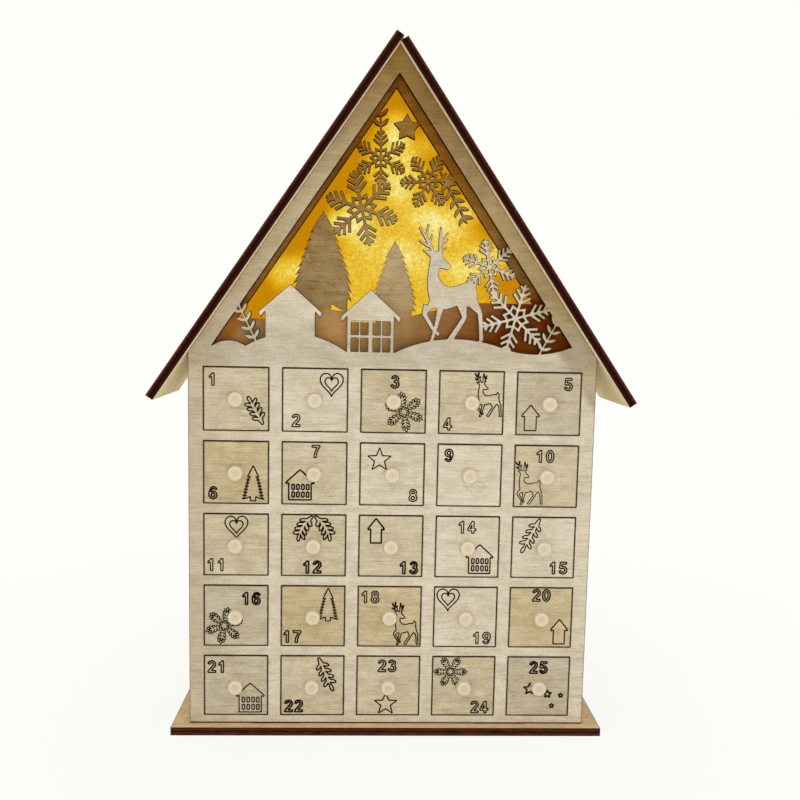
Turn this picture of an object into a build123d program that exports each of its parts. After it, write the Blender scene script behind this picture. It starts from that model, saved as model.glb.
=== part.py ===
from build123d import *
from math import cos, radians, sin, tan
import os

# A wooden advent calendar: a plywood house with 25 drawers under a lit fretwork gable.
# Millimetres, +Z up, front towards -Y, origin in the middle of the base's underside.

# Plywood
panel_thick = 3.0  # front, back, walls, shelves, dividers and scene sheet
board_thick = 5.0  # base and roof
drawer_ply = 2.0  # drawer sides, back and bottom

# Drawer openings, seen from the front
columns = 5
rows = 5
pitch_x = 47.0
pitch_z = 44.5
opening_width = 39.2
opening_height = 38.4
foot_strip = 5.4  # front panel left under the lowest openings
side_strip = 8.9  # front panel left beside the outer openings

# House, base and roof
house_depth = 54.0
board_overhang = 6.0  # base and roof past the front and back panels
base_side_overhang = 10.5
wall_rise = 2.3  # wall above the attic floor
roof_pitch = 55.7  # degrees
eave_overhang = 19.5  # roof's lower edge past the wall, measured level
ridge_overrun = 3.4  # left roof board past the ridge line
ridge_gap = 0.3  # right roof board short of the ridge line

# Joints between fixed pieces
tab_width = 30.0
tab_inset = 52.5  # middle of a foot tab from the side of the house
tab_shy = 0.3  # tab above the underside of the base
slot_play = 0.1  # clearance on each side of a slotted joint
sheet_play = 0.2  # gable sheets and spacers to walls and roof

# Drawers and knobs
drawer_side_play = 0.4
drawer_top_play = 0.5
drawer_floor_play = 0.3
drawer_back_room = 1.0
drawer_wall_drop = 4.0  # drawer walls below the top of the drawer front
knob_diameter = 8.8
knob_sides = 14
knob_height = 4.6
knob_bevel = 1.8  # at the rim of the crown

# Gable window and scene sheet
gable_rim = 9.3  # front panel left along the roof
scene_rim = 12.5  # scene sheet left along the roof
scene_shift = -1.4  # the scene's cut-out sits a little left of the middle
sill_rise = 3.6  # window sill above the attic floor
spacer_width = 6.0
spacer_depth = 6.0  # front panel to scene sheet
diffuser_thick = 0.6

# Fretwork snowflakes
flake_arms = 6
flake_branch_angle = 48.0  # side branches from the arm
flake_branch_roots = (0.44, 0.63, 0.82)  # along the arm, as parts of its reach
flake_branch_spans = (0.34, 0.28, 0.17)
flake_hub_tip = 0.42
flake_hub_waist = 0.27
flake_hub_wall = 0.07
flake_stroke = 0.085  # width of a bar
flake_touch = 0.8  # overlap where a flake or star meets the rim

# Hill line from left to right, each place across and up from the sill
hill_start = (-1.6, -1.0)  # from the window's left corner
hill_bump = (12.9, 6.0)  # from the left corner
left_valley = (21.9, 3.0)  # from the left corner
house_crest = (50.4, 10.8)  # from the left corner
house_floor = 0.3  # level ground under the paned house
deer_crest = (33.1, 9.2)  # from the middle
right_valley = (45.0, 4.0)  # from the window's right corner
right_dip = (23.7, 1.0)  # from the right corner
hill_end = (-3.6, 9.2)  # from the right corner

# What stands on the hill, and the two snowflakes at the right rim
plain_house_x = 48.2  # from the left corner
pane_house_x = -14.5  # from the middle
left_sprig_place = (28.9, 4.0)  # from the left corner
right_sprig_place = (23.7, 0.0)  # from the right corner
upper_flake_height = 52.1
upper_flake_reach = 16.8
upper_flake_turn = 41.0
lower_flake_height = 22.1
lower_flake_reach = 21.0
lower_flake_turn = 15.0

# Small houses on the hill
plain_house_width = 29.6
plain_house_eave = 23.0  # height of the eave tips
plain_house_ridge = 39.7
pane_house_width = 28.0
pane_house_eave = 20.9
pane_house_ridge = 37.5
eave_tip = 4.2  # eave past the wall
eave_thick = 3.0
pane_width = 4.5
pane_height = 8.1
pane_rows = (0.6, 10.6)  # lower edge of each row of panes
pane_columns = (-9.35, -3.65, 3.65, 9.5)  # middles, from the house's middle

# Sprigs
left_sprig_length = 26.4
right_sprig_length = 24.0
left_sprig_turn = 26.0
right_sprig_turn = -28.0
sprig_stem = 1.3
leaf_length = 6.6
leaf_bulge = 1.15  # half of a leaf's width
leaf_angle = 48.0
leaf_step = 5.6
leaf_root = 3.6  # first pair above the foot

# Deer, each place across from the middle and up from the sill, its limbs with widths
deer_back = ((28.5, 41.2), (33.4, 40.2), (39.7, 42.2), (45.8, 42.9), (48.5, 37.4), (48.8, 28.7))
deer_belly = ((42.6, 28.6), (36.5, 28.6), (29.8, 26.3), (23.0, 27.2))
deer_breast = ((17.8, 26.6), (20.2, 31.7), (18.9, 38.0), (18.6, 45.2), (20.2, 57.2))
deer_head = ((15.3, 61.4), (21.1, 60.8), (27.1, 60.9), (28.2, 57.1), (33.0, 51.9), (30.4, 49.8), (26.1, 50.9))
deer_throat = (25.2, 46.0)
deer_limbs = (
    ((19.5, 28.5, 6.0), (17.2, 24.0, 3.0), (23.3, 13.9, 2.2), (26.6, 11.4, 2.4)),
    ((27.0, 28.0, 4.0), (24.6, 16.5, 2.4), (21.8, 7.0, 2.2)),
    ((39.6, 30.0, 6.4), (41.5, 22.0, 3.0), (32.8, 8.0, 3.6)),
    ((46.4, 30.5, 6.5), (50.6, 25.0, 3.2), (51.3, 17.5, 2.6), (51.8, 8.0, 2.8)),
)
limb_joint_sides = 6
deer_antlers = (
    ((22.0, 60.0, 2.0), (19.0, 66.0, 2.2), (13.4, 74.6, 1.2)),
    ((17.4, 68.4, 1.4), (18.6, 76.4, 1.2)),
    ((19.5, 63.2, 1.6), (13.4, 66.8, 1.2)),
    ((19.6, 65.5, 1.4), (21.0, 70.4, 1.1)),
    ((26.0, 60.0, 2.0), (25.8, 66.0, 2.0), (26.2, 74.9, 1.2)),
    ((25.9, 66.0, 1.4), (30.4, 71.6, 1.1)),
    ((26.0, 63.5, 1.4), (30.4, 68.0, 1.1)),
    ((26.2, 61.0, 1.4), (29.4, 62.8, 1.1)),
)

# Scene sheet: fir trees, ground, star and hanging snowflakes
tall_fir_place = (-43.8, 27.0)
tall_fir_height = 56.8
tall_fir_half = 17.6
short_fir_place = (-0.6, 22.0)
short_fir_height = 45.1
short_fir_half = 13.4
fir_teeth = 9
fir_flare = 0.7  # the teeth widen down to this part of the tree
fir_cap = 0.2  # smooth tip, as part of the height
fir_cap_half = 0.44  # half width under the tip, as part of the foot's half width
fir_bite = 2.6
fir_droop = 0.35  # how far a tooth's tip hangs, as part of a tooth's height
ground_left = 19.6  # ground heights above the sill
ground_low = 17.6
ground_right = 31.0
ground_low_x = -4.0
ground_bend_x = 24.0
ground_bend = 26.0
ground_top_x = 52.0
light_gap = ((-39.0, 25.0), (-31.0, 24.4), (-38.6, 28.6))
star_height = 133.3  # middle of the star above the sill
star_reach = 8.4
star_tips = 5
star_waist = 0.56
top_flake_height = 115.6
top_flake_reach = 16.4
top_flake_turn = 31.0
side_flake_height = 102.6
side_flake_reach = 16.8
side_flake_turn = 4.0
low_flake_offset = (-10.9, -29.8)  # from the top flake's middle
low_flake_reach = 22.4
low_flake_turn = 43.0
top_sprig_length = 15.0
top_sprig_turn = 4.0
side_sprig_offset = (9.0, 3.0)  # foot, from the side flake's middle
side_sprig_length = 28.0
side_sprig_turn = -151.0

# Battery case, two AA cells, cover and switch
case_wall = 1.6
case_flange = 3.0
cell_diameter = 14.2
cell_body_length = 49.3
cell_nub_length = 1.2
cell_nub_diameter = 5.5
cell_gap = 0.6  # between the two cells
cell_play = 0.3  # cells to the case
contact_thick = 0.6
contact_width = 9.0
leaf_reach = 2.6  # sprung leaf from the case's end to the cell
leaf_strip = 0.5
cover_lap = 1.0  # cover over the case's rim
cover_thick = 2.2
cover_play = 0.4  # cover and switch plate to the hatch
cover_lip_depth = 1.6
cover_lip_wall = 1.2
cover_lip_play = 0.3
cover_ribs = 3
cover_rib_pitch = 3.0
cover_rib_size = 1.0
cover_rib_length = 14.0
cover_rib_inset = 6.0
switch_room = 14.0
switch_travel = 3.0
nub_width = 4.0
nub_height = 5.0
nub_reach = 2.4  # past the switch plate
nub_flange = 1.4  # shoulder behind the switch plate
switch_play = 0.3

# Light string: a thin lead with bead lamps between it and the back of the diffuser
lead_diameter = 1.4
lead_sides = 4
lead_play = 0.05
bead_diameter = 3.2
bead_sides = 8
bead_depth = 2.4
lead_exit_x = 30.0
# Corners of the lead, across from the middle and up from the attic floor
lead_points = (
    (60.5, 57.0), (33.0, 71.0), (16.0, 60.0), (28.0, 92.0), (9.0, 88.0), (-2.0, 124.0),
    (-14.0, 100.0), (-33.0, 81.0), (-57.0, 47.0),
)
lead_bend = 5.0

# Derived places
base_top = board_thick
house_half = ((columns - 1) * pitch_x + opening_width) / 2 + side_strip
inner_half = house_half - panel_thick
front_y = -house_depth / 2
room_front_y = front_y + panel_thick
room_back_y = house_depth / 2 - panel_thick
room_depth = room_back_y - room_front_y
board_depth = house_depth + 2 * board_overhang
slope = tan(radians(roof_pitch))
lean = cos(radians(roof_pitch))
attic_top = base_top + foot_strip + rows * pitch_z
sill_z = attic_top + sill_rise
wall_top = attic_top + wall_rise
ridge_z = wall_top + house_half * slope
scene_y = room_front_y + spacer_depth
diffuser_y = scene_y + panel_thick
bead_back_y = diffuser_y + diffuser_thick + lead_play + bead_depth
lead_y = bead_back_y + lead_play + lead_diameter / 2
column_x = [(column - (columns - 1) / 2) * pitch_x for column in range(columns)]
divider_x = [(left + right) / 2 for left, right in zip(column_x, column_x[1:])]
shelf_tops = [base_top + foot_strip + row * pitch_z for row in range(rows + 1)]
tab_x = house_half - tab_inset

os.makedirs("parts", exist_ok=True)


def upright(back_y):
    """Plane of an upright sheet's back: its sketch is x across and z up, and it grows forwards."""
    return Plane.XZ.offset(-back_y)


def write(piece, name):
    """Label a finished piece and write it as its own file."""
    piece.label = name
    export_step(piece, f"parts/{name}.step")


def group(pieces, name):
    """Write several separate solids as one named piece."""
    write(Compound(children=pieces), name)


def roof_line(rim):
    """Height where a line at this distance under the roof crosses the middle."""
    return ridge_z - rim / lean


def half_under(rim, height):
    """Half width at a height, out to a line at this distance under the roof."""
    return (roof_line(rim) - height) / slope


def gable_points(half, foot, rim):
    """Corners of a house front: straight walls up to a line under the roof."""
    shoulder = roof_line(rim) - half * slope
    return [(-half, foot), (half, foot), (half, shoulder), (0, roof_line(rim)), (-half, shoulder)]


def window_points(rim):
    """Corners of the triangular window above the sill."""
    half = half_under(rim, sill_z)
    return [(-half, sill_z), (half, sill_z), (0, roof_line(rim))]


def above_sill(place):
    """A place measured across from the middle and up from the sill."""
    return (place[0], sill_z + place[1])


def from_left(place):
    """A place measured across from the front window's left corner and up from the sill."""
    return (place[0] - half_under(gable_rim, sill_z), sill_z + place[1])


def from_right(place):
    """A place measured in from the front window's right corner and up from the sill."""
    return (half_under(gable_rim, sill_z) - place[0], sill_z + place[1])


def hung_x(rim, height, reach, angle):
    """Where a figure's middle goes so that its tip at this angle meets the right rim."""
    tip_z = height + reach * sin(radians(angle))
    return half_under(rim, tip_z) - reach * cos(radians(angle)) + flake_touch


def strip_points(start, end, start_width, end_width):
    """Corners of a tapered bar between two points."""
    run = (Vector(*end) - Vector(*start)).normalized()
    side = Vector(-run.Y, run.X)
    near = Vector(*start)
    far = Vector(*end)
    corners = [
        near - side * start_width / 2,
        far - side * end_width / 2,
        far + side * end_width / 2,
        near + side * start_width / 2,
    ]
    return [(corner.X, corner.Y) for corner in corners]


def flake_arm(reach):
    """One arm of a snowflake along +Y, with three pairs of side branches."""
    half = flake_stroke * reach / 2
    tilt = radians(flake_branch_angle)
    edge = [(half, 0)]
    for root, span in zip(flake_branch_roots, flake_branch_spans):
        along = root * reach
        length = span * reach
        low = half * (1 - cos(tilt)) / sin(tilt)
        high = half * (1 + cos(tilt)) / sin(tilt)
        edge.append((half, along - half * sin(tilt) + low * cos(tilt)))
        edge.append((half * cos(tilt) + length * sin(tilt), along - half * sin(tilt) + length * cos(tilt)))
        edge.append((length * sin(tilt) - half * cos(tilt), along + half * sin(tilt) + length * cos(tilt)))
        edge.append((half, along + half * sin(tilt) + high * cos(tilt)))
    edge.append((half, reach))
    return edge + [(-x, y) for x, y in reversed(edge)]


def hub_points(tip, waist):
    """A six pointed hub whose points lie between the arms."""
    points = []
    for corner in range(flake_arms):
        valley = radians(360 / flake_arms * corner)
        peak = radians(360 / flake_arms * (corner + 0.5))
        points.append((waist * cos(valley), waist * sin(valley)))
        points.append((tip * cos(peak), tip * sin(peak)))
    return points


def snowflake(reach, turn):
    """A snowflake about the origin; turn is the angle of its first arm from +X."""
    tip = flake_hub_tip * reach
    waist = flake_hub_waist * reach
    wall = flake_hub_wall * reach
    with BuildSketch() as flake:
        Polygon(*hub_points(tip, waist), align=None)
        Polygon(*hub_points(tip - 2 * wall, waist - wall), align=None, mode=Mode.SUBTRACT)
        with PolarLocations(0, flake_arms, start_angle=-90):
            Polygon(*flake_arm(reach), align=None)
    return flake.sketch.rotate(Axis.Z, turn)


def sprig(length, turn):
    """A sprig from its foot at the origin, with pairs of leaves up a thin stem."""
    with BuildSketch() as leaf:
        with BuildLine():
            SagittaArc((0, 0), (0, leaf_length), leaf_bulge)
            SagittaArc((0, leaf_length), (0, 0), leaf_bulge)
        make_face()
    pairs = int((length - leaf_root) / leaf_step) + 1
    with BuildSketch() as branch:
        Polygon(*strip_points((0, -leaf_root), (0, length), sprig_stem, sprig_stem), align=None)
        for pair in range(pairs):
            root = (0, leaf_root + pair * leaf_step)
            with Locations(Location(root, leaf_angle), Location(root, -leaf_angle)):
                add(leaf.sketch)
        with Locations((0, length - leaf_length / 2)):
            add(leaf.sketch)
    return branch.sketch.rotate(Axis.Z, turn)


def house_points(width, eave, ridge):
    """Outline of a small house with overhanging eaves, from the middle of its foot."""
    wall = width / 2
    tip = wall + eave_tip
    fall = (ridge - eave) / tip
    right = [
        (wall, 0),
        (wall, eave - eave_thick + eave_tip * fall),
        (tip - eave_thick * fall / 2, eave - eave_thick),
        (tip, eave),
        (0, ridge),
    ]
    return right + [(-x, y) for x, y in reversed(right[:-1])]


def fir_points(height, half):
    """Outline of a fir tree with a smooth tip and drooping saw teeth down both sides."""
    edge = [(0, height)]
    cap_half = fir_cap_half * half
    step = (1 - fir_cap) * height / fir_teeth
    for tooth in range(fir_teeth):
        tip_half = cap_half + (half - cap_half) * min(1, tooth / (fir_flare * (fir_teeth - 1)))
        tip_z = (1 - fir_cap) * height - tooth * step
        edge.append((tip_half, tip_z - fir_droop * step))
        edge.append((tip_half - fir_bite, tip_z))
    edge.append((half - fir_bite, -ground_low))
    return edge + [(-x, y) for x, y in reversed(edge[1:])]


def star_points(reach):
    """A five pointed star about the origin, one point up."""
    points = []
    for corner in range(2 * star_tips):
        radius = reach * star_waist if corner % 2 else reach
        angle = radians(90 + 180 / star_tips * corner)
        points.append((radius * cos(angle), radius * sin(angle)))
    return points


def limb(points):
    """A leg or antler drawn as tapered bars through points, each with its width."""
    with BuildSketch() as drawn:
        for near, far in zip(points, points[1:]):
            Polygon(*strip_points(near[:2], far[:2], near[2], far[2]), align=None)
        with Locations(*[point[:2] for point in points[1:-1]]):
            RegularPolygon(min(point[2] for point in points[1:]) / 2, limb_joint_sides)
    return drawn.sketch


def deer():
    """A walking deer seen from its side: body, neck and head, four legs and antlers."""
    with BuildSketch() as animal:
        with BuildLine():
            Spline(*deer_back)
            Polyline(deer_back[-1], *deer_belly, *deer_breast, *deer_head, deer_throat, deer_back[0])
        make_face()
        for points in deer_limbs + deer_antlers:
            add(limb(points))
    return animal.sketch


# Base board with slots for the foot tabs of the front and back panels
with BuildPart() as base_plate:
    with BuildSketch():
        Rectangle(2 * (house_half + base_side_overhang), board_depth)
        with Locations(*[(x, y) for x in (-tab_x, tab_x) for y in (front_y, room_back_y)]):
            with Locations((0, panel_thick / 2)):
                Rectangle(tab_width + 2 * slot_play, panel_thick + 2 * slot_play, mode=Mode.SUBTRACT)
    extrude(amount=board_thick)
write(base_plate.part, "base_plate")

# Scenery cut in one piece with the front panel: hill, houses, deer, sprigs and snowflakes
pane_house_wall = pane_house_width / 2
hill_corners = [
    from_left(hill_start),
    from_left(left_valley),
    above_sill((pane_house_x - pane_house_wall, house_floor)),
    above_sill((pane_house_x + pane_house_wall, house_floor)),
    from_right(right_valley),
    from_right(hill_end),
]
upper_flake_z = sill_z + upper_flake_height
upper_flake_x = hung_x(gable_rim, upper_flake_z, upper_flake_reach, upper_flake_turn)
lower_flake_z = sill_z + lower_flake_height
lower_flake_x = hung_x(gable_rim, lower_flake_z, lower_flake_reach, lower_flake_turn)
with BuildSketch() as front_scenery:
    with BuildLine():
        ThreePointArc(hill_corners[0], from_left(hill_bump), hill_corners[1])
        ThreePointArc(hill_corners[1], from_left(house_crest), hill_corners[2])
        Line(hill_corners[2], hill_corners[3])
        ThreePointArc(hill_corners[3], above_sill(deer_crest), hill_corners[4])
        ThreePointArc(hill_corners[4], from_right(right_dip), hill_corners[5])
        hill_foot = [(hill_corners[5][0], attic_top), (hill_corners[0][0], attic_top)]
        Polyline(hill_corners[5], *hill_foot, hill_corners[0])
    make_face()
    with Locations(from_left((plain_house_x, 0))):
        Polygon(*house_points(plain_house_width, plain_house_eave, plain_house_ridge), align=None)
    with Locations(above_sill((pane_house_x, 0))):
        Polygon(*house_points(pane_house_width, pane_house_eave, pane_house_ridge), align=None)
        with Locations(*[(x, z) for x in pane_columns for z in pane_rows]):
            Rectangle(pane_width, pane_height, align=(Align.CENTER, Align.MIN), mode=Mode.SUBTRACT)
    with Locations(from_left(left_sprig_place)):
        add(sprig(left_sprig_length, left_sprig_turn))
    with Locations(from_right(right_sprig_place)):
        add(sprig(right_sprig_length, right_sprig_turn))
    with Locations((0, sill_z)):
        add(deer())
    with Locations((upper_flake_x, upper_flake_z)):
        add(snowflake(upper_flake_reach, upper_flake_turn))
    with Locations((lower_flake_x, lower_flake_z)):
        add(snowflake(lower_flake_reach, lower_flake_turn))
    Polygon(*gable_points(house_half, base_top, 0), align=None, mode=Mode.INTERSECT)

# Front panel: house outline, 25 drawer openings, fretwork window and foot tabs
with BuildPart() as front_panel:
    with BuildSketch(upright(room_front_y)):
        Polygon(*gable_points(house_half, base_top, 0), align=None)
        grid_middle = (shelf_tops[0] + shelf_tops[-2] + opening_height) / 2
        with Locations((0, grid_middle)):
            with GridLocations(pitch_x, pitch_z, columns, rows):
                Rectangle(opening_width, opening_height, mode=Mode.SUBTRACT)
        Polygon(*window_points(gable_rim), align=None, mode=Mode.SUBTRACT)
        add(front_scenery.sketch)
        with Locations((-tab_x, tab_shy), (tab_x, tab_shy)):
            Rectangle(tab_width, base_top - tab_shy, align=(Align.CENTER, Align.MIN))
    extrude(amount=panel_thick)
write(front_panel.part, "front_panel")

# Side walls between the front and back panels
with BuildPart() as left_wall:
    with Locations((-house_half, room_front_y, base_top)):
        Box(panel_thick, room_depth, wall_top - base_top, align=Align.MIN)
write(left_wall.part, "left_wall")
with BuildPart() as right_wall:
    with Locations((inner_half, room_front_y, base_top)):
        Box(panel_thick, room_depth, wall_top - base_top, align=Align.MIN)
write(right_wall.part, "right_wall")

# Shelves under each row of drawers, and the attic floor over the top row.
# The shelves between two rows have half slots from the front for the dividers.
half_slot = room_depth / 2 + slot_play
for level, top in enumerate(shelf_tops):
    with BuildPart() as shelf:
        with BuildSketch(Plane.XY.offset(top - panel_thick)):
            Rectangle(2 * inner_half, room_depth)
            if 0 < level < rows:
                with Locations(*[(x, room_front_y) for x in divider_x]):
                    slot_width = panel_thick + 2 * slot_play
                    Rectangle(slot_width, half_slot, align=(Align.CENTER, Align.MIN), mode=Mode.SUBTRACT)
        extrude(amount=panel_thick)
    write(shelf.part, "attic_floor" if level == rows else f"shelf_{level + 1}")

# Dividers between the columns, with half slots from the back for the shelves
divider_height = shelf_tops[-1] - panel_thick - shelf_tops[0]
for number, x in enumerate(divider_x, start=1):
    with BuildPart() as divider:
        with BuildSketch(Plane.YZ.offset(x - panel_thick / 2)):
            with Locations((0, shelf_tops[0])):
                Rectangle(room_depth, divider_height, align=(Align.CENTER, Align.MIN))
            with Locations(*[(room_back_y, top - panel_thick / 2) for top in shelf_tops[1:-1]]):
                slot_height = panel_thick + 2 * slot_play
                Rectangle(half_slot, slot_height, align=(Align.MAX, Align.CENTER), mode=Mode.SUBTRACT)
        extrude(amount=panel_thick)
    write(divider.part, f"divider_{number}")

# Drawers: a plain box behind a flush front, with a turned knob
drawer_width = opening_width - 2 * drawer_side_play
drawer_height = opening_height - drawer_floor_play - drawer_top_play
drawer_wall_height = drawer_height - drawer_wall_drop
drawer_end_y = room_back_y - drawer_back_room
drawer_wall_length = drawer_end_y - room_front_y
with BuildPart() as drawer_front:
    with Locations((-drawer_width / 2, front_y, 0)):
        Box(drawer_width, panel_thick, drawer_height, align=Align.MIN)
with BuildPart() as drawer_left_side:
    with Locations((-drawer_width / 2, room_front_y, 0)):
        Box(drawer_ply, drawer_wall_length, drawer_wall_height, align=Align.MIN)
with BuildPart() as drawer_right_side:
    with Locations((drawer_width / 2 - drawer_ply, room_front_y, 0)):
        Box(drawer_ply, drawer_wall_length, drawer_wall_height, align=Align.MIN)
with BuildPart() as drawer_back:
    with Locations((drawer_ply - drawer_width / 2, drawer_end_y - drawer_ply, 0)):
        Box(drawer_width - 2 * drawer_ply, drawer_ply, drawer_wall_height, align=Align.MIN)
with BuildPart() as drawer_bottom:
    with Locations((drawer_ply - drawer_width / 2, room_front_y, 0)):
        Box(drawer_width - 2 * drawer_ply, drawer_wall_length - drawer_ply, drawer_ply, align=Align.MIN)
with BuildPart() as knob:
    with BuildSketch(upright(front_y)):
        with Locations((0, drawer_height / 2)):
            RegularPolygon(knob_diameter / 2, knob_sides)
    extrude(amount=knob_height)
    chamfer(knob.faces().sort_by(Axis.Y)[0].edges(), knob_bevel)
drawer_pieces = (drawer_front, drawer_left_side, drawer_right_side, drawer_back, drawer_bottom, knob)
for number in range(1, rows * columns + 1):
    row_from_top, column = divmod(number - 1, columns)
    floor_z = shelf_tops[rows - 1 - row_from_top] + drawer_floor_play
    place = Location((column_x[column], 0, floor_z))
    group([piece.part.moved(place) for piece in drawer_pieces], f"drawer_{number:02d}")

# Roof boards, square cut; the left board runs past the ridge and covers the end of the right one
eave_half = house_half + eave_overhang
board_run = eave_half / lean
with BuildPart() as left_roof:
    with BuildSketch(upright(board_depth / 2)):
        with Locations(Location((-eave_half, ridge_z - eave_half * slope), roof_pitch)):
            Rectangle(board_run + ridge_overrun, board_thick, align=Align.MIN)
    extrude(amount=board_depth)
write(left_roof.part, "left_roof")
with BuildPart() as right_roof:
    with BuildSketch(upright(board_depth / 2)):
        with Locations(Location((eave_half, ridge_z - eave_half * slope), -roof_pitch)):
            Rectangle(board_run - ridge_gap, board_thick, align=(Align.MAX, Align.MIN))
    extrude(amount=board_depth)
write(right_roof.part, "right_roof")

# Spacer strips along the roof, between the front panel and the scene sheet
sheet_half = inner_half - sheet_play
sheet_outline = gable_points(sheet_half, attic_top + sheet_play, sheet_play)
for name, side in (("left_spacer", -1), ("right_spacer", 1)):
    outer_foot = min(sheet_half, half_under(sheet_play, attic_top + sheet_play))
    corners = [
        (half_under(sheet_play + spacer_width, attic_top + sheet_play), attic_top + sheet_play),
        (outer_foot, attic_top + sheet_play),
        (outer_foot, roof_line(sheet_play) - outer_foot * slope),
        (sheet_play, roof_line(sheet_play) - sheet_play * slope),
        (sheet_play, roof_line(sheet_play + spacer_width) - sheet_play * slope),
    ]
    with BuildPart() as spacer:
        with BuildSketch(upright(scene_y)):
            Polygon(*[(side * x, z) for x, z in corners], align=None)
        extrude(amount=spacer_depth)
    write(spacer.part, name)

# Scene sheet: fir trees on the ground, and snowflakes, a star and sprigs hung from the rim
top_flake_z = sill_z + top_flake_height
top_arm = 180 - top_flake_turn - 2 * 360 / flake_arms
top_flake_x = scene_shift - hung_x(scene_rim, top_flake_z, top_flake_reach, top_arm)
low_flake_place = (top_flake_x + low_flake_offset[0], top_flake_z + low_flake_offset[1])
side_flake_z = sill_z + side_flake_height
side_flake_x = scene_shift + hung_x(scene_rim, side_flake_z, side_flake_reach, side_flake_turn)
side_sprig_place = (side_flake_x + side_sprig_offset[0], side_flake_z + side_sprig_offset[1])
star_z = sill_z + star_height
star_x = scene_shift + hung_x(scene_rim, star_z, star_reach, 90 - 360 / star_tips)
ground_corners = [
    above_sill((ground_low_x, ground_low)),
    above_sill((-sheet_half, ground_left)),
    (-sheet_half, attic_top + sheet_play),
    (sheet_half, attic_top + sheet_play),
    above_sill((sheet_half, ground_right)),
    above_sill((ground_top_x, ground_right)),
]
with BuildPart() as scene_panel:
    with BuildSketch(upright(diffuser_y)):
        Polygon(*sheet_outline, align=None)
        with Locations((scene_shift, 0)):
            Polygon(*window_points(scene_rim), align=None, mode=Mode.SUBTRACT)
        with BuildLine():
            Polyline(*ground_corners)
            ThreePointArc(ground_corners[-1], above_sill((ground_bend_x, ground_bend)), ground_corners[0])
        make_face()
        with Locations(above_sill(tall_fir_place)):
            Polygon(*fir_points(tall_fir_height, tall_fir_half), align=None)
        with Locations(above_sill(short_fir_place)):
            Polygon(*fir_points(short_fir_height, short_fir_half), align=None)
        Polygon(*[above_sill(point) for point in light_gap], align=None, mode=Mode.SUBTRACT)
        with Locations((star_x, star_z)):
            Polygon(*star_points(star_reach), align=None)
        with Locations((top_flake_x, top_flake_z)):
            add(snowflake(top_flake_reach, top_flake_turn))
        with Locations((top_flake_x, top_flake_z + top_flake_reach - leaf_root / 2)):
            add(sprig(top_sprig_length, top_sprig_turn))
        with Locations(low_flake_place):
            add(snowflake(low_flake_reach, low_flake_turn))
        with Locations((side_flake_x, side_flake_z)):
            add(snowflake(side_flake_reach, side_flake_turn))
        with Locations(side_sprig_place):
            add(sprig(side_sprig_length, side_sprig_turn))
        Polygon(*sheet_outline, align=None, mode=Mode.INTERSECT)
    extrude(amount=panel_thick)
write(scene_panel.part, "scene_panel")

# Diffuser sheet on the back of the scene sheet
with BuildPart() as diffuser_sheet:
    with BuildSketch(upright(diffuser_y + diffuser_thick)):
        Polygon(*sheet_outline, align=None)
    extrude(amount=diffuser_thick)
write(diffuser_sheet.part, "diffuser_sheet")

# Battery case behind the back panel's hatch, standing on the attic floor
cell_length = cell_body_length + cell_nub_length
bay_length = contact_thick + cell_length + leaf_reach
bay_height = 2 * cell_diameter + cell_gap + 2 * cell_play
bay_depth = cell_diameter + 2 * cell_play + cover_lip_depth / 2
case_length = bay_length + switch_room + 3 * case_wall
case_height = bay_height + 2 * case_wall
case_depth = bay_depth + case_wall
case_front_y = room_back_y - case_depth
case_left_x = -case_length / 2
bay_left_x = case_left_x + case_wall
bay_right_x = bay_left_x + bay_length
bay_z = attic_top + case_height / 2
switch_x = bay_right_x + case_wall + switch_room / 2
with BuildPart() as battery_case:
    with BuildSketch(upright(room_back_y)):
        with Locations((0, attic_top)):
            Rectangle(case_length, case_height, align=(Align.CENTER, Align.MIN))
    extrude(amount=case_depth)
    with BuildSketch(upright(room_back_y)):
        with Locations((0, attic_top)):
            flange_size = (case_length + 2 * case_flange, case_height + case_flange)
            Rectangle(*flange_size, align=(Align.CENTER, Align.MIN))
    extrude(amount=case_wall)
    with BuildSketch(upright(room_back_y)):
        with Locations((bay_left_x, bay_z)):
            Rectangle(bay_length, bay_height, align=(Align.MIN, Align.CENTER))
    extrude(amount=bay_depth, mode=Mode.SUBTRACT)
    with BuildSketch(upright(room_back_y - case_wall)):
        with Locations((switch_x, bay_z)):
            Rectangle(switch_room, bay_height)
    extrude(amount=bay_depth - case_wall, mode=Mode.SUBTRACT)
    with BuildSketch(upright(room_back_y)):
        with Locations((switch_x, bay_z)):
            Rectangle(nub_width + switch_travel + 2 * switch_play, nub_height + 2 * switch_play)
    extrude(amount=case_wall, mode=Mode.SUBTRACT)
write(battery_case.part, "battery_case")

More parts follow.
